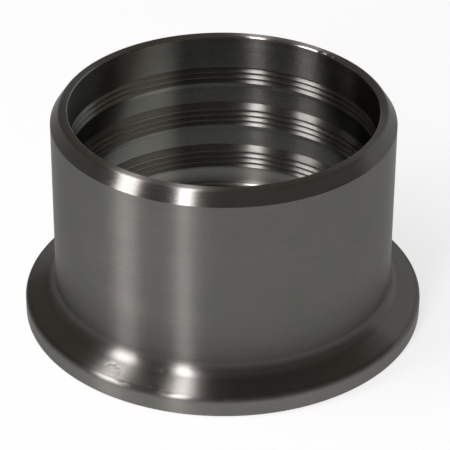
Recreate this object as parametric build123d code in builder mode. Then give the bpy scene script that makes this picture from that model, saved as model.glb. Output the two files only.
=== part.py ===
from build123d import *
import os
from math import radians, tan

# Sanitary clamp ferrule for 1 1/2 inch tube, the kind that is rolled onto the tube:
# the tube slides into the socket from above, stops on a shoulder and is expanded into
# the grooves of the socket wall. One piece, turned from stainless bar. Millimetres,
# +Z up, origin on the axis in the plane of the gasket face.
INCH = 25.4

# Overall height, and the part of it below the stop that the tube's end meets
height = 1.125 * INCH
stop_height = 0.25 * INCH

# Tube and the wall of the socket around it
tube_radius = 1.5 * INCH / 2
tube_clearance = 0.1
tube_wall = 1.65
socket_wall = 2.2
stop_corner_radius = 0.3

# Clamp flange
flange_overhang = 3.9
rim_thickness = 2.55
clamp_angle = 20.0
rim_round = 0.7
foot_round = 0.35
neck_fillet = 1.9

# Mouth of the socket
land_width = 1.1
bevel_height = 1.65
lip_round = 0.5
mouth_round = 0.25

# Serrations: fine V grooves in bands, as many bands as the depth of the socket takes
serration_depth = 0.35
serration_width = 0.74
serration_pitch = INCH / 32
serrations_per_band = 3
band_pitch = 0.25 * INCH
first_band_depth = 5.65
last_band_room = 1.8

# Wide grooves with sloping sides, which fill the wall from band to band but for a margin
relief_depth = 0.45
relief_slope = 0.8
relief_margin = 0.085

# Gasket groove in the lower face
gasket_groove_inset = 3.47
gasket_groove_width = 3.3
gasket_groove_depth = 1.5
gasket_groove_chamfer = 0.2

# Small chamfer on the edges of the passage
passage_chamfer = 0.15

passage_radius = tube_radius - tube_wall
socket_radius = tube_radius + tube_clearance
body_radius = socket_radius + socket_wall
flange_radius = body_radius + flange_overhang
land_radius = socket_radius + land_width
gasket_groove_radius = flange_radius - gasket_groove_inset
cone_height = rim_thickness + flange_overhang * tan(radians(clamp_angle))

band_run = height - stop_height - first_band_depth - last_band_room
band_count = 1 + int(band_run / band_pitch)
band_depths = [first_band_depth + band * band_pitch for band in range(band_count)]
band_width = (serrations_per_band - 1) * serration_pitch + serration_width
relief_mouth = band_pitch - band_width - 2 * relief_margin
relief_floor = relief_mouth - 2 * relief_slope


def corner(sketch, radius, level):
    """The corner of the section that lies at this radius and height."""
    return sketch.vertices().sort_by_distance((radius, level, 0))[0]


def serration_levels():
    """Height of each V groove, band by band from the mouth down."""
    levels = []
    for depth in band_depths:
        for tooth in range(serrations_per_band):
            offset = (tooth - (serrations_per_band - 1) / 2) * serration_pitch
            levels.append(height - depth - offset)
    return levels


def relief_levels():
    """Height of each wide groove, midway between two bands."""
    return [height - depth - band_pitch / 2 for depth in band_depths[:-1]]


with BuildPart() as ferrule:
    with BuildSketch(Plane.XZ) as section:
        with BuildLine():
            Polyline(
                (passage_radius, 0),
                (flange_radius, 0),
                (flange_radius, rim_thickness),
                (body_radius, cone_height),
                (body_radius, height - bevel_height),
                (land_radius, height),
                (socket_radius, height),
                (socket_radius, stop_height),
                (passage_radius, stop_height),
                close=True,
            )
        make_face()

        fillet(corner(section, flange_radius, 0), foot_round)
        fillet(corner(section, flange_radius, rim_thickness), rim_round)
        fillet(corner(section, body_radius, cone_height), neck_fillet)
        fillet(corner(section, land_radius, height), lip_round)
        fillet(corner(section, socket_radius, height), mouth_round)
        fillet(corner(section, socket_radius, stop_height), stop_corner_radius)
        chamfer(corner(section, passage_radius, stop_height), passage_chamfer)
        chamfer(corner(section, passage_radius, 0), passage_chamfer)

        # Each V groove is a diamond centred on the wall, half of it in the open bore
        with Locations([(socket_radius, level) for level in serration_levels()]):
            Polygon(
                (-serration_depth, 0),
                (0, -serration_width / 2),
                (serration_depth, 0),
                (0, serration_width / 2),
                align=None,
                mode=Mode.SUBTRACT,
            )

        # Wide grooves with sloping sides
        with Locations([(socket_radius, level) for level in relief_levels()]):
            Polygon(
                (-relief_depth, -relief_floor / 2),
                (0, -relief_mouth / 2),
                (relief_depth, -relief_floor / 2),
                (relief_depth, relief_floor / 2),
                (0, relief_mouth / 2),
                (-relief_depth, relief_floor / 2),
                align=None,
                mode=Mode.SUBTRACT,
            )

        # Round-bottomed gasket groove
        half_width = gasket_groove_width / 2
        groove_radius = (half_width**2 + gasket_groove_depth**2) / (2 * gasket_groove_depth)
        with Locations((gasket_groove_radius, gasket_groove_depth - groove_radius)):
            Circle(groove_radius, mode=Mode.SUBTRACT)
        chamfer(corner(section, gasket_groove_radius - half_width, 0), gasket_groove_chamfer)
        chamfer(corner(section, gasket_groove_radius + half_width, 0), gasket_groove_chamfer)
    revolve(axis=Axis.Z)

ferrule.part.label = "ferrule"
os.makedirs("parts", exist_ok=True)
export_step(ferrule.part, "parts/ferrule.step")
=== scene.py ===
from math import asin, atan2, cos, hypot, pi, radians, sin, tan

import bpy
import numpy as np
from mathutils import Matrix, Vector


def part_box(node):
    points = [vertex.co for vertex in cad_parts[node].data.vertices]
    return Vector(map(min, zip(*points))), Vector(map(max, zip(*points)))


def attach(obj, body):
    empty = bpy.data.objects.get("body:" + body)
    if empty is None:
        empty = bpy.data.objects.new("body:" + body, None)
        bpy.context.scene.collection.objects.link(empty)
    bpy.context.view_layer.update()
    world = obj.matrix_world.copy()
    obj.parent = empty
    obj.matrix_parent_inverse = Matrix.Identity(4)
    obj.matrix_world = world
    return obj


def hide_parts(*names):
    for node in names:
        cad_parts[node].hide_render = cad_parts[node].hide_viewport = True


# A turned stainless clamp ferrule for rolled-on tube, on a pale floor. The ferrule's lengths are in
# millimetres until its mesh is made, and those of the studio are in metres. Azimuths are seen from
# above, 0 toward the camera and positive to its right.
MM = 0.001
INCH = 25.4

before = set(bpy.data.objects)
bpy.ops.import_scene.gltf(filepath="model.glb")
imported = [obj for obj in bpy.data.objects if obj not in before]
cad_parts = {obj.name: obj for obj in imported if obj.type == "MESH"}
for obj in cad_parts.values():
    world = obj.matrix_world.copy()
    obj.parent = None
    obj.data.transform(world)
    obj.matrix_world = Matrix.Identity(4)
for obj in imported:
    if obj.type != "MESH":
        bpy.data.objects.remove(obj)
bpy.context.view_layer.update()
far_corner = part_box("ferrule")[1]

# Sizes of the ferrule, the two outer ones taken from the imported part
HEIGHT = far_corner.z / MM
FLANGE_RADIUS = far_corner.x / MM
BODY_RADIUS = 21.35
SOCKET_RADIUS = 19.15
PASSAGE_RADIUS = 17.4
STOP_HEIGHT = 0.25 * INCH
STOP_CORNER = 0.3
PASSAGE_CHAMFER = 0.15
RIM_THICKNESS = 2.55
CLAMP_ANGLE = radians(20)
RIM_ROUND = 0.7
FOOT_ROUND = 0.35
NECK_FILLET = 1.9
BEVEL_WIDTH = 1.1
BEVEL_HEIGHT = 1.65
LIP_ROUND = 0.5
MOUTH_ROUND = 0.25
SERRATION_DEPTH = 0.35
SERRATION_WIDTH = 0.74
SERRATION_PITCH = INCH / 32
SERRATIONS_PER_BAND = 3
BAND_COUNT = 3
BAND_PITCH = 0.25 * INCH
FIRST_BAND_DEPTH = 5.65
RELIEF_DEPTH = 0.45
RELIEF_MOUTH = 3.8525
RELIEF_FLOOR = 2.2525
GASKET_GROOVE_RADIUS = 43.56 / 2
GASKET_GROOVE_WIDTH = 3.3
GASKET_GROOVE_DEPTH = 1.5
GASKET_GROOVE_CHAMFER = 0.2

# The camera: its place, and how far it looks down, and is turned and rolled
EYE = Vector((0, -250.06, 164.85)) * MM
PITCH = radians(31.511)
YAW = radians(0.052)
ROLL = radians(0.345)
LENS = 185.56
SENSOR_WIDTH = 36

# Soft boxes: the point that they surround, their distance from it and colour, how many flat panels
# each is made of, and how much wider it is in its middle and dimmer at its top
CENTRE = Vector((0, 0, HEIGHT / 2)) * MM
LAMP_DISTANCE = 0.8
LAMP_COLOUR = (1.0, 0.95, 0.99)
PANELS = 6
SOFTBOX_BULGE = 0.35
SOFTBOX_FADE = 0.16

# Room, as shares of white. The wall and the board have soft edges, given as the components of the
# direction that they are seen in. The board's top is its height against its distance behind.
ROOM_LIGHT = (0.195, 0.172, 0.156)
WALL_LIGHT = 0.95
WALL_BACK = (0.2, 0.7)
WALL_TOP = (0.1, 0.45)
WALL_LEFT = (-0.65, -0.3)
BOARD_LIGHT = 0.55
BOARD_TOP = 1.24
BOARD_TOP_EDGE = (-0.03, 0.03)
BOARD_LEFT = (0.1, 0.3)

# Floor: half its width in metres, its paint, and the share of it that shows as plain white
FLOOR_REACH = 4.0
FLOOR_COLOUR = (0.8, 0.82, 0.8)
FLOOR_ROUGHNESS = 0.9
FLOOR_SPECULAR = 0.1
FLOOR_GLOW = 0.76

# Colours of the metal, and the span of its clouds and bands from all olive to all russet, in which
# the socket is moved toward olive. The edge tint colours its reflections at grazing angles.
STEEL_RUSSET = (0.144, 0.138, 0.13)
STEEL_OLIVE = (0.139, 0.14, 0.127)
CLOUDING = (-0.25, 0.25)
SOCKET_OLIVE = -0.3
EDGE_TINT = (0.6, 0.6, 0.6)

# Soft edges of the zones of the finish and of the painted light and shade, by radius or by height
SOCKET_EDGE = (SOCKET_RADIUS + RELIEF_DEPTH + 0.05, SOCKET_RADIUS + RELIEF_DEPTH + 0.2)
SOCKET_TOP = (HEIGHT - 0.375, HEIGHT - 0.175)
GROOVE_START = (SOCKET_RADIUS + 0.05, SOCKET_RADIUS + 0.15)
FLANK_START = (SOCKET_RADIUS + 0.02, SOCKET_RADIUS + 0.07)
FLANK_END = (SOCKET_RADIUS + SERRATION_DEPTH, SOCKET_RADIUS + SERRATION_DEPTH + 0.08)
DEEP_TOP = (HEIGHT - 16.575, HEIGHT - 6.575)
SEAT_TOP = (STOP_HEIGHT + 2.25, STOP_HEIGHT + 2.75)
CORNER_TOP = (STOP_HEIGHT + 0.45, STOP_HEIGHT + 0.95)
CORNER_START = (SOCKET_RADIUS - 0.55, SOCKET_RADIUS - 0.25)
FOOT_TOP = (RIM_THICKNESS + 1.95, RIM_THICKNESS + 9.95)
BODY_START = (BODY_RADIUS - 0.85, BODY_RADIUS - 0.35)
BODY_END = (BODY_RADIUS + 0.25, BODY_RADIUS + 0.65)
LIP_START = (HEIGHT - 0.325, HEIGHT - 0.175)
LIP_EDGE = (SOCKET_RADIUS + 0.1, SOCKET_RADIUS + MOUTH_ROUND)
LAND_START = (HEIGHT - 0.175, HEIGHT - 0.075)
BEVEL_FOOT = (HEIGHT - BEVEL_HEIGHT - 0.125, HEIGHT - BEVEL_HEIGHT + 0.075)
BEVEL_START = (BODY_RADIUS - BEVEL_WIDTH - 0.15, BODY_RADIUS - BEVEL_WIDTH + 0.05)
CONE_START = (BODY_RADIUS + 0.85, BODY_RADIUS + 1.45)
CONE_END = (FLANGE_RADIUS - 0.75, FLANGE_RADIUS - 0.35)
EDGE_START = (FLANGE_RADIUS - 0.55, FLANGE_RADIUS - 0.35)
RIM_TOP = (RIM_THICKNESS - RIM_ROUND, RIM_THICKNESS - 0.4)

# Zones on one side of the socket, by direction from the axis, that carry painted reflected light: its
# left side, and an upright patch with the cosines of the angles from its middle at which it starts and is
# full
LEFT_SIDE = (-0.78, -0.62)
PATCH_AZIMUTH = radians(-147.7)
PATCH_SPREAD = (0.943, 1.0)

# Marks of the tool: fine and coarse lines and short grain by their number to a millimetre along the
# profile, how much closer the grain lies round the axis, clouds by their number to a millimetre, broad
# bands by how little they change upward and how close they lie, the share of the radius in the place
# along the profile, and the strength and depth of the relief
FINE_LINES = 9.0
COARSE_LINES = 1.3
GRAIN_LINES = 3.0
GRAIN_ROUND = 40
CLOUD_SCALE = 0.22
BAND_RISE = 0.03
BAND_SCALE = 3.0
RADIUS_SHARE = 0.8
BUMP_STRENGTH = 0.5
BUMP_DEPTH = 0.004

# The tool marks run round the axis, and reflections stretch a quarter turn from them. Roughness of
# the body, and what each zone and mark adds to it.
QUARTER_TURN = 0.25
BODY_ROUGHNESS = 0.31
ROUGHNESS = {
    "rim": -0.02,
    "bevel": -0.03,
    "lip": -0.1,
    "land": 0.03,
    "inside": 0.01,
    "grooves": -0.01,
    "cone": -0.02,
    "fine": 0.05,
    "coarse": 0.03,
    "cloud": 0.04,
}

# Brightness of the metal against its plain colour, and what each zone and mark adds to it. The patch,
# left, flanks, deep, seat and corner zones stand in for light that goes from wall to wall inside.
BODY_TONE = 1.0
TONE = {
    # Painted shade: the whole socket is made darker than the outside.
    "inside": -0.5,
    "flanks": 0.11,
    "deep": 0.1,
    "left": 1.1,
    "seat": 0.62,
    "corner": 0.8,
    "patch": 1.6,
    "patch_deep": -0.4,
    "patch_flanks": 0.5,
    # Painted reflection: the cone, the flange's edge, the rim and the bevel are made lighter or darker,
    # each face of the one steel matched to how it mirrors the room.
    "cone": 0.14,
    "edge": -0.12,
    "rim": 0.28,
    "bevel": -0.1,
    # Painted shade: the body is darker low down by the neck.
    "foot": -0.17,
    # Painted highlight: the mouth's lip and the land are made lighter.
    "lip": 0.5,
    "land": 0.3,
    "fine": 0.22,
    "coarse": 0.16,
    "cloud": 0.22,
    "band": 0.15,
    "grain": 0.15,
    "inside_grain": 0.2,
}

# Nicks and bruises, each as the azimuth in degrees, radius and height of its middle, its half width
# round the axis, its half width along the profile, and its depth
DENTS = (
    (0.5, 25.1, 2.3, 0.5, 0.3, 0.06),
    (-20, 24.5, 2.8, 0.4, 0.2, 0.02),
    (-16.5, 24.85, 2.53, 0.9, 0.15, 0.05),
    (-20.5, 24.8, 2.56, 1.0, 0.15, 0.065),
    (-24.5, 24.8, 2.56, 1.2, 0.15, 0.075),
    (-28.5, 24.85, 2.53, 0.8, 0.15, 0.055),
    (-33, 23.4, 3.2, 0.25, 0.2, 0.02),
    (-34.7, 23.1, 3.3, 0.35, 0.17, 0.025),
    (-36.4, 23.5, 3.15, 0.15, 0.15, 0.01),
    (-31.2, 23.9, 3.0, 0.15, 0.2, 0.009),
    (-18.7, 22.3, 3.7, 0.35, 0.2, 0.012),
    (-50, 24.0, 3.0, 1.2, 0.12, 0.02),
    (-54, 23.6, 3.15, 0.9, 0.1, 0.015),
    (141.5, 19.35, 28.5, 0.35, 0.2, 0.04),
    (137, 19.35, 28.5, 0.3, 0.15, 0.03),
    (133.5, 19.3, 28.45, 0.25, 0.15, 0.03),
    (130.5, 19.3, 28.45, 0.3, 0.15, 0.04),
)

# Fineness of the turned mesh: spokes, steps of its arcs, rounding of crisp edges, and longest runs on
# the flange, where the dents are, and elsewhere
SEGMENTS = 540
ARC_STEP = radians(13)
CRISP = 0.05
FLANGE_STEP = 0.25
PLAIN_STEP = 4
LOWER_FACE = 0.1


def outline_corners():
    """Corners of the section, counterclockwise, each as (radius, height, rounding)."""
    half = GASKET_GROOVE_WIDTH / 2
    bowl = (half**2 + GASKET_GROOVE_DEPTH**2) / (2 * GASKET_GROOVE_DEPTH)
    lean = asin((bowl - GASKET_GROOVE_DEPTH) / bowl)
    shoulder = half - GASKET_GROOVE_DEPTH * tan(lean)
    cut = GASKET_GROOVE_CHAMFER
    neck = RIM_THICKNESS + (FLANGE_RADIUS - BODY_RADIUS) * tan(CLAMP_ANGLE)
    corners = [
        (PASSAGE_RADIUS, PASSAGE_CHAMFER, CRISP),
        (PASSAGE_RADIUS + PASSAGE_CHAMFER, 0, CRISP),
        (GASKET_GROOVE_RADIUS - half - cut, 0, CRISP),
        (GASKET_GROOVE_RADIUS - half + cut * tan(lean), cut, CRISP),
        (GASKET_GROOVE_RADIUS - shoulder, GASKET_GROOVE_DEPTH, bowl),
        (GASKET_GROOVE_RADIUS + shoulder, GASKET_GROOVE_DEPTH, bowl),
        (GASKET_GROOVE_RADIUS + half - cut * tan(lean), cut, CRISP),
        (GASKET_GROOVE_RADIUS + half + cut, 0, CRISP),
        (FLANGE_RADIUS, 0, FOOT_ROUND),
        (FLANGE_RADIUS, RIM_THICKNESS, RIM_ROUND),
        (BODY_RADIUS, neck, NECK_FILLET),
        (BODY_RADIUS, HEIGHT - BEVEL_HEIGHT, CRISP),
        (BODY_RADIUS - BEVEL_WIDTH, HEIGHT, LIP_ROUND),
        (SOCKET_RADIUS, HEIGHT, MOUTH_ROUND),
    ]
    corners += socket_corners()
    corners += [
        (SOCKET_RADIUS, STOP_HEIGHT, STOP_CORNER),
        (PASSAGE_RADIUS + PASSAGE_CHAMFER, STOP_HEIGHT, CRISP),
        (PASSAGE_RADIUS, STOP_HEIGHT - PASSAGE_CHAMFER, CRISP),
    ]
    return corners


def socket_corners():
    """Corners of the socket wall from the mouth down: bands of V grooves with a wide groove between."""
    corners = []
    for band in range(BAND_COUNT):
        middle = HEIGHT - FIRST_BAND_DEPTH - band * BAND_PITCH
        for tooth in range(SERRATIONS_PER_BAND):
            level = middle - (tooth - (SERRATIONS_PER_BAND - 1) / 2) * SERRATION_PITCH
            corners.append((SOCKET_RADIUS, level + SERRATION_WIDTH / 2, CRISP))
            corners.append((SOCKET_RADIUS + SERRATION_DEPTH, level, CRISP))
            corners.append((SOCKET_RADIUS, level - SERRATION_WIDTH / 2, CRISP))
        if band < BAND_COUNT - 1:
            level = middle - BAND_PITCH / 2
            corners.append((SOCKET_RADIUS, level + RELIEF_MOUTH / 2, CRISP))
            corners.append((SOCKET_RADIUS + RELIEF_DEPTH, level + RELIEF_FLOOR / 2, CRISP))
            corners.append((SOCKET_RADIUS + RELIEF_DEPTH, level - RELIEF_FLOOR / 2, CRISP))
            corners.append((SOCKET_RADIUS, level - RELIEF_MOUTH / 2, CRISP))
    return corners


def rounded(corners):
    """Points and outward normals along the closed outline, with every corner turned into an arc."""
    points, normals = [], []
    count = len(corners)
    for i, (radius, height, rounding) in enumerate(corners):
        before, after = corners[i - 1], corners[(i + 1) % count]
        arriving = atan2(height - before[1], radius - before[0])
        leaving = atan2(after[1] - height, after[0] - radius)
        turn = (leaving - arriving + pi) % (2 * pi) - pi
        setback = rounding * tan(abs(turn) / 2)
        start = (radius - setback * cos(arriving), height - setback * sin(arriving))
        side = 1 if turn > 0 else -1
        normal = arriving - pi / 2
        centre = (start[0] - side * rounding * cos(normal), start[1] - side * rounding * sin(normal))
        steps = max(2, round(abs(turn) / ARC_STEP)) if rounding > CRISP else 1
        for step in range(steps + 1):
            angle = normal + turn * step / steps
            out, up = cos(angle), sin(angle)
            points.append((centre[0] + side * rounding * out, centre[1] + side * rounding * up))
            normals.append((out, up))
    return points, normals


def subdivided(points, normals):
    """The same outline with extra points on its straight runs, closest on the flange."""
    fine_points, fine_normals = [], []
    count = len(points)
    for i in range(count):
        here, there = points[i], points[(i + 1) % count]
        fine_points.append(here)
        fine_normals.append(normals[i])
        run = hypot(there[0] - here[0], there[1] - here[1])
        outside = min(here[0], there[0]) > BODY_RADIUS + NECK_FILLET / 2
        on_flange = outside and min(here[1], there[1]) > LOWER_FACE
        pieces = int(run / (FLANGE_STEP if on_flange else PLAIN_STEP)) + 1
        for k in range(1, pieces):
            share = k / pieces
            fine_points.append(tuple(a + (b - a) * share for a, b in zip(here, there)))
            fine_normals.append(normals[i])
    return fine_points, fine_normals


def dented(verts, facing, azimuth, radius, height, out, up):
    """Presses the dents into the surface and tips its normals to match."""
    for place, at_radius, at_height, wide, long, depth in DENTS:
        turn = (azimuth - radians(place) + pi) % (2 * pi) - pi
        arc = turn * at_radius
        along = (height - at_height) * out - (radius - at_radius) * up
        away = (height - at_height) * up + (radius - at_radius) * out
        hollow = depth * np.exp(-((arc / wide) ** 2) - (along**2 + away**2) / long**2)
        steep_arc = -2 * arc / wide**2 * hollow
        steep_along = -2 * along / long**2 * hollow
        around = np.stack(np.broadcast_arrays(np.cos(azimuth), np.sin(azimuth), 0), -1)
        climbing = np.stack(np.broadcast_arrays(-up * np.sin(azimuth), up * np.cos(azimuth), out), -1)
        verts = verts - hollow[..., None] * facing
        facing = facing + steep_arc[..., None] * around + steep_along[..., None] * climbing
    return verts, facing / np.linalg.norm(facing, axis=-1, keepdims=True)


def turned_mesh(name):
    """The outline turned about Z into one closed mesh with exact normals."""
    points, normals = subdivided(*rounded(outline_corners()))
    rings, spokes = len(points), SEGMENTS
    azimuth = np.arange(spokes) * 2 * pi / spokes
    radius = np.array([p[0] for p in points])[:, None]
    height = np.array([p[1] for p in points])[:, None]
    out = np.array([n[0] for n in normals])[:, None]
    up = np.array([n[1] for n in normals])[:, None]
    around = np.ones_like(azimuth)[None, :]
    verts = np.stack([radius * np.sin(azimuth), -radius * np.cos(azimuth), height * around], -1)
    facing = np.stack([out * np.sin(azimuth), -out * np.cos(azimuth), up * around], -1)
    verts, facing = dented(verts, facing, azimuth, radius, height, out, up)
    faces = []
    for ring in range(rings):
        first, second = ring * spokes, (ring + 1) % rings * spokes
        for spoke in range(spokes):
            nearby = (spoke + 1) % spokes
            faces.append((first + spoke, first + nearby, second + nearby, second + spoke))
    mesh = bpy.data.meshes.new(name)
    mesh.from_pydata((verts * MM).reshape(-1, 3).tolist(), [], faces)
    mesh.polygons.foreach_set("use_smooth", [True] * len(faces))
    mesh.normals_split_custom_set_from_vertices(facing.reshape(-1, 3).tolist())
    mesh.update()
    return mesh


def node(tree, kind, **values):
    """A shader node with its properties and input values set."""
    made = tree.nodes.new(kind)
    for key, value in values.items():
        if hasattr(made, key):
            setattr(made, key, value)
        else:
            made.inputs[key.replace("_", " ")].default_value = value
    return made


def blend(tree, value, low, high, start, end):
    """Carries value from low..high over to start..end, smoothly."""
    ramp = node(tree, "ShaderNodeMapRange", interpolation_type="SMOOTHSTEP")
    for key, number in (("From Min", low), ("From Max", high), ("To Min", start), ("To Max", end)):
        ramp.inputs[key].default_value = number
    tree.links.new(value, ramp.inputs["Value"])
    return ramp.outputs["Result"]


def combined(tree, operation, first, second):
    """Math on two values, each a socket or a number."""
    made = node(tree, "ShaderNodeMath", operation=operation)
    for value, socket in zip((first, second), made.inputs):
        if isinstance(value, (int, float)):
            socket.default_value = value
        else:
            tree.links.new(value, socket)
    return made.outputs[0]


def total(tree, *terms):
    """The sum of several values."""
    result = terms[0]
    for term in terms[1:]:
        result = combined(tree, "ADD", result, term)
    return result


def times(tree, *factors):
    """The product of several values."""
    result = factors[0]
    for factor in factors[1:]:
        result = combined(tree, "MULTIPLY", result, factor)
    return result


def above(tree, value, span):
    """0 before the span, 1 past it."""
    return blend(tree, value, *span, 0, 1)


def below(tree, value, span):
    """1 before the span, 0 past it."""
    return blend(tree, value, *span, 1, 0)


def weighted(tree, base, amounts, values):
    """The base plus each named value times its amount."""
    return total(tree, base, *(times(tree, values[name], amount) for name, amount in amounts.items()))


def joined(tree, x, y, z):
    """Three values as one vector."""
    made = node(tree, "ShaderNodeCombineXYZ")
    for value, socket in zip((x, y, z), made.inputs):
        tree.links.new(value, socket)
    return made.outputs[0]


def noise(tree, where, scale, detail):
    """Random pattern around 0, from -0.5 to 0.5."""
    made = node(tree, "ShaderNodeTexNoise", Scale=scale, Detail=detail)
    tree.links.new(where, made.inputs["Vector"])
    return combined(tree, "SUBTRACT", made.outputs["Fac"], 0.5)


def place_in_mm(tree):
    """The place on the ferrule in millimetres, from its own origin."""
    scaled = node(tree, "ShaderNodeVectorMath", operation="SCALE")
    scaled.inputs["Scale"].default_value = 1 / MM
    tree.links.new(node(tree, "ShaderNodeTexCoord").outputs["Object"], scaled.inputs[0])
    return scaled.outputs[0]


def socket_zones(tree, radius, z, around_x, around_y):
    """Where each zone of the socket lies: 1 in the zone, 0 out of it."""
    inside = times(tree, below(tree, radius, SOCKET_EDGE), below(tree, z, SOCKET_TOP))
    patch = total(
        tree,
        times(tree, around_x, sin(PATCH_AZIMUTH)),
        times(tree, around_y, -cos(PATCH_AZIMUTH)),
    )
    patch = above(tree, patch, PATCH_SPREAD)
    zones = {
        "inside": inside,
        "grooves": times(tree, inside, above(tree, radius, GROOVE_START)),
        "flanks": times(tree, inside, above(tree, radius, FLANK_START), below(tree, radius, FLANK_END)),
        "deep": times(tree, inside, below(tree, z, DEEP_TOP)),
        "left": times(tree, inside, below(tree, around_x, LEFT_SIDE)),
        "seat": times(tree, inside, below(tree, z, SEAT_TOP)),
        "corner": times(tree, inside, below(tree, z, CORNER_TOP), above(tree, radius, CORNER_START)),
        "patch": times(tree, inside, patch, patch),
    }
    zones["patch_deep"] = times(tree, zones["patch"], zones["deep"])
    zones["patch_flanks"] = times(tree, zones["patch"], zones["flanks"])
    return zones


def outer_zones(tree, radius, z):
    """Where each zone of the outside lies, from the flange to the mouth: 1 in the zone, 0 out of it."""
    body = times(tree, above(tree, radius, BODY_START), below(tree, radius, BODY_END))
    edge = above(tree, radius, EDGE_START)
    return {
        "edge": edge,
        "rim": times(tree, edge, below(tree, z, RIM_TOP)),
        "cone": times(tree, above(tree, radius, CONE_START), below(tree, radius, CONE_END)),
        "foot": times(tree, below(tree, z, FOOT_TOP), body),
        "bevel": times(tree, above(tree, z, BEVEL_FOOT), above(tree, radius, BEVEL_START)),
        "land": times(tree, above(tree, z, LAND_START), above(tree, radius, LIP_EDGE)),
        "lip": times(tree, above(tree, z, LIP_START), below(tree, radius, LIP_EDGE)),
    }


def tool_marks(tree, place, radius, z, around_x, around_y):
    """Lines round the axis, short grain along them, clouds, and broad bands."""
    along = combined(tree, "SUBTRACT", z, times(tree, radius, RADIUS_SHARE))
    fine = joined(tree, around_x, around_y, times(tree, along, FINE_LINES))
    coarse = joined(tree, around_x, around_y, times(tree, along, COARSE_LINES))
    band = joined(tree, around_x, around_y, times(tree, z, BAND_RISE))
    grain_x, grain_y = times(tree, around_x, GRAIN_ROUND), times(tree, around_y, GRAIN_ROUND)
    grain = joined(tree, grain_x, grain_y, times(tree, along, GRAIN_LINES))
    return {
        "fine": noise(tree, fine, scale=1.0, detail=3.0),
        "coarse": noise(tree, coarse, scale=1.0, detail=2.0),
        "cloud": noise(tree, place, scale=CLOUD_SCALE, detail=3.0),
        "band": noise(tree, band, scale=BAND_SCALE, detail=2.0),
        "grain": noise(tree, grain, scale=1.0, detail=2.0),
    }


def steel_pattern(tree):
    """All zones of the finish and of the painted light and shade, and all marks, by name."""
    place = place_in_mm(tree)
    split = node(tree, "ShaderNodeSeparateXYZ")
    tree.links.new(place, split.inputs[0])
    x, y, z = split.outputs
    radius = combined(tree, "SQRT", total(tree, times(tree, x, x), times(tree, y, y)), 0)
    around_x = combined(tree, "DIVIDE", x, radius)
    around_y = combined(tree, "DIVIDE", y, radius)
    pattern = socket_zones(tree, radius, z, around_x, around_y)
    pattern |= outer_zones(tree, radius, z)
    pattern |= tool_marks(tree, place, radius, z, around_x, around_y)
    pattern["inside_grain"] = times(tree, pattern["inside"], pattern["grain"])
    return pattern


def steel_colour(tree, pattern):
    """The metal's colour: olive to russet in soft clouds, lighter or darker by mark, and by zone as
    painted light and shade.
    """
    tint = node(tree, "ShaderNodeMix", data_type="RGBA")
    tint.inputs["A"].default_value = (*STEEL_OLIVE, 1)
    tint.inputs["B"].default_value = (*STEEL_RUSSET, 1)
    russet = total(tree, pattern["cloud"], pattern["band"], times(tree, pattern["inside"], SOCKET_OLIVE))
    tree.links.new(above(tree, russet, CLOUDING), tint.inputs["Factor"])
    colour = node(tree, "ShaderNodeVectorMath", operation="SCALE")
    tree.links.new(tint.outputs["Result"], colour.inputs[0])
    tree.links.new(weighted(tree, BODY_TONE, TONE, pattern), colour.inputs["Scale"])
    return colour.outputs[0]


def steel():
    """Turned stainless: a dark metal that stretches its reflections across its tool marks."""
    material = bpy.data.materials.new("turned_stainless")
    material.use_nodes = True
    tree = material.node_tree
    tree.nodes.clear()
    link = tree.links.new
    pattern = steel_pattern(tree)

    shader = node(tree, "ShaderNodeBsdfPrincipled")
    shader.inputs["Metallic"].default_value = 1.0
    shader.inputs["Anisotropic"].default_value = 1.0
    shader.inputs["Anisotropic Rotation"].default_value = QUARTER_TURN
    shader.inputs["Specular Tint"].default_value = (*EDGE_TINT, 1)
    tangent = node(tree, "ShaderNodeTangent", direction_type="RADIAL", axis="Z")
    link(tangent.outputs["Tangent"], shader.inputs["Tangent"])
    link(steel_colour(tree, pattern), shader.inputs["Base Color"])
    link(weighted(tree, BODY_ROUGHNESS, ROUGHNESS, pattern), shader.inputs["Roughness"])

    bump = node(tree, "ShaderNodeBump", Strength=BUMP_STRENGTH, Distance=BUMP_DEPTH * MM)
    link(total(tree, pattern["fine"], pattern["coarse"]), bump.inputs["Height"])
    link(bump.outputs["Normal"], shader.inputs["Normal"])

    output = node(tree, "ShaderNodeOutputMaterial")
    link(shader.outputs["BSDF"], output.inputs["Surface"])
    return material


def make_ferrule():
    """The turned piece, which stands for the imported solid."""
    piece = bpy.data.objects.new("ferrule_turned", turned_mesh("ferrule_turned"))
    bpy.context.scene.collection.objects.link(piece)
    piece.data.materials.append(steel())
    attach(piece, "root")
    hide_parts("ferrule")


def floor_paint():
    """Pale paint that the camera and reflections see as nearly plain white, and that keeps shadows."""
    material = bpy.data.materials.new("pale_floor")
    material.use_nodes = True
    tree = material.node_tree
    shader = tree.nodes["Principled BSDF"]
    shader.inputs["Base Color"].default_value = (*FLOOR_COLOUR, 1)
    shader.inputs["Roughness"].default_value = FLOOR_ROUGHNESS
    shader.inputs["Specular IOR Level"].default_value = FLOOR_SPECULAR
    ray = node(tree, "ShaderNodeLightPath")
    seen = combined(tree, "MAXIMUM", ray.outputs["Is Camera Ray"], ray.outputs["Is Glossy Ray"])
    seen = combined(tree, "MAXIMUM", seen, ray.outputs["Is Transmission Ray"])
    white = node(tree, "ShaderNodeEmission", Strength=1.0)
    mixed = node(tree, "ShaderNodeMixShader")
    tree.links.new(times(tree, seen, FLOOR_GLOW), mixed.inputs[0])
    tree.links.new(shader.outputs[0], mixed.inputs[1])
    tree.links.new(white.outputs[0], mixed.inputs[2])
    tree.links.new(mixed.outputs[0], tree.nodes["Material Output"].inputs["Surface"])
    return material


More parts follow.
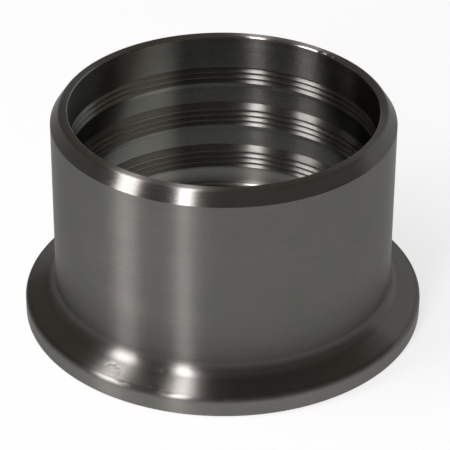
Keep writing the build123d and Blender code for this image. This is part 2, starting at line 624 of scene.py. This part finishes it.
def make_floor():
    """A wide flat floor that the ferrule stands on."""
    reach = FLOOR_REACH
    mesh = bpy.data.meshes.new("floor")
    corners = [(-reach, -reach, 0), (reach, -reach, 0), (reach, reach, 0), (-reach, reach, 0)]
    mesh.from_pydata(corners, [], [(0, 1, 2, 3)])
    floor = bpy.data.objects.new("floor", mesh)
    bpy.context.scene.collection.objects.link(floor)
    mesh.materials.append(floor_paint())


def direction(azimuth, elevation):
    """Unit vector toward this azimuth and elevation, in degrees."""
    azimuth, elevation = radians(azimuth), radians(elevation)
    return Vector((sin(azimuth) * cos(elevation), -cos(azimuth) * cos(elevation), sin(elevation)))


def mirrored(azimuth, lean):
    """Where a surface at this azimuth, leaning back by so many degrees, mirrors the camera to."""
    facing = direction(azimuth, lean)
    toward_eye = (EYE - CENTRE).normalized()
    return 2 * toward_eye.dot(facing) * facing - toward_eye


def softbox_panel(name, left, right, bottom, top, radiance):
    """One flat panel that fills the directions between these, as seen from the centre."""
    toward = (bottom + top).normalized()
    upright = (top - bottom).normalized()
    sideways = upright.cross(toward).normalized()
    lamp = bpy.data.lights.new(name, "AREA")
    lamp.shape = "RECTANGLE"
    lamp.size = (right - left).length * LAMP_DISTANCE
    lamp.size_y = (top - bottom).length * LAMP_DISTANCE
    lamp.energy = radiance * pi * lamp.size * lamp.size_y
    lamp.color = LAMP_COLOUR
    panel = bpy.data.objects.new(name, lamp)
    panel.visible_camera = False
    turn = Matrix((sideways, upright, toward)).transposed().to_4x4()
    panel.matrix_world = Matrix.Translation(CENTRE + toward * LAMP_DISTANCE) @ turn
    bpy.context.scene.collection.objects.link(panel)


def curved_softbox(name, azimuth, tilt, width, leans, radiance):
    """A tall curved soft box of flat panels, which shows as one upright streak on turned metal.

    Surfaces that face this azimuth and lean back by the angles from leans[0] to leans[1] mirror
    the box to the camera, and the streak is so many degrees wide. The box is turned by tilt
    degrees at its top, wider in its middle, and a little dimmer toward its top.
    """
    step = (leans[1] - leans[0]) / PANELS
    for panel in range(PANELS):
        share = (panel + 0.5) / PANELS
        lean = leans[0] + panel * step
        middle = azimuth + tilt * share
        half = width / 2 * (1 + SOFTBOX_BULGE * sin(pi * share))
        softbox_panel(
            f"{name}_{panel}",
            left=mirrored(middle - half, lean + step / 2),
            right=mirrored(middle + half, lean + step / 2),
            bottom=mirrored(middle, lean),
            top=mirrored(middle, lean + step),
            radiance=radiance * (1 - SOFTBOX_FADE * share),
        )


def make_world():
    """A dim room with a pale wall low down behind the ferrule and a pale board behind it to the right."""
    world = bpy.data.worlds.new("studio")
    bpy.context.scene.world = world
    world.use_nodes = True
    tree = world.node_tree
    where = node(tree, "ShaderNodeTexCoord")
    split = node(tree, "ShaderNodeSeparateXYZ")
    tree.links.new(where.outputs["Generated"], split.inputs[0])
    right, back, up = split.outputs
    wall = times(
        tree,
        above(tree, back, WALL_BACK),
        below(tree, up, WALL_TOP),
        above(tree, right, WALL_LEFT),
    )
    past_board = combined(tree, "SUBTRACT", up, times(tree, back, BOARD_TOP))
    board = times(tree, below(tree, past_board, BOARD_TOP_EDGE), above(tree, right, BOARD_LEFT))
    light = combined(tree, "MAXIMUM", times(tree, wall, WALL_LIGHT), times(tree, board, BOARD_LIGHT))
    shown = node(tree, "ShaderNodeMix", data_type="RGBA", blend_type="LIGHTEN")
    shown.inputs["Factor"].default_value = 1.0
    shown.inputs["A"].default_value = (*ROOM_LIGHT, 1)
    tree.links.new(light, shown.inputs["B"])
    tree.links.new(shown.outputs["Result"], tree.nodes["Background"].inputs["Color"])


def make_camera():
    """The camera stands in front of the ferrule, well above it, and looks down at it."""
    data = bpy.data.cameras.new("camera")
    data.lens = LENS
    data.sensor_width = SENSOR_WIDTH
    camera = bpy.data.objects.new("camera", data)
    look = Matrix.Rotation(-YAW, 4, "Z") @ Matrix.Rotation(pi / 2 - PITCH, 4, "X")
    camera.matrix_world = Matrix.Translation(EYE) @ look @ Matrix.Rotation(ROLL, 4, "Z")
    bpy.context.scene.collection.objects.link(camera)
    bpy.context.scene.camera = camera


make_camera()
make_ferrule()
make_floor()
curved_softbox("left_softbox", azimuth=-32.8, tilt=-1.8, width=6.3, leans=(24, 61), radiance=12.5)
curved_softbox("front_softbox", azimuth=-12.9, tilt=1.2, width=3.9, leans=(24, 64), radiance=17.2)
make_world()
bpy.context.scene.view_settings.view_transform = "Standard"
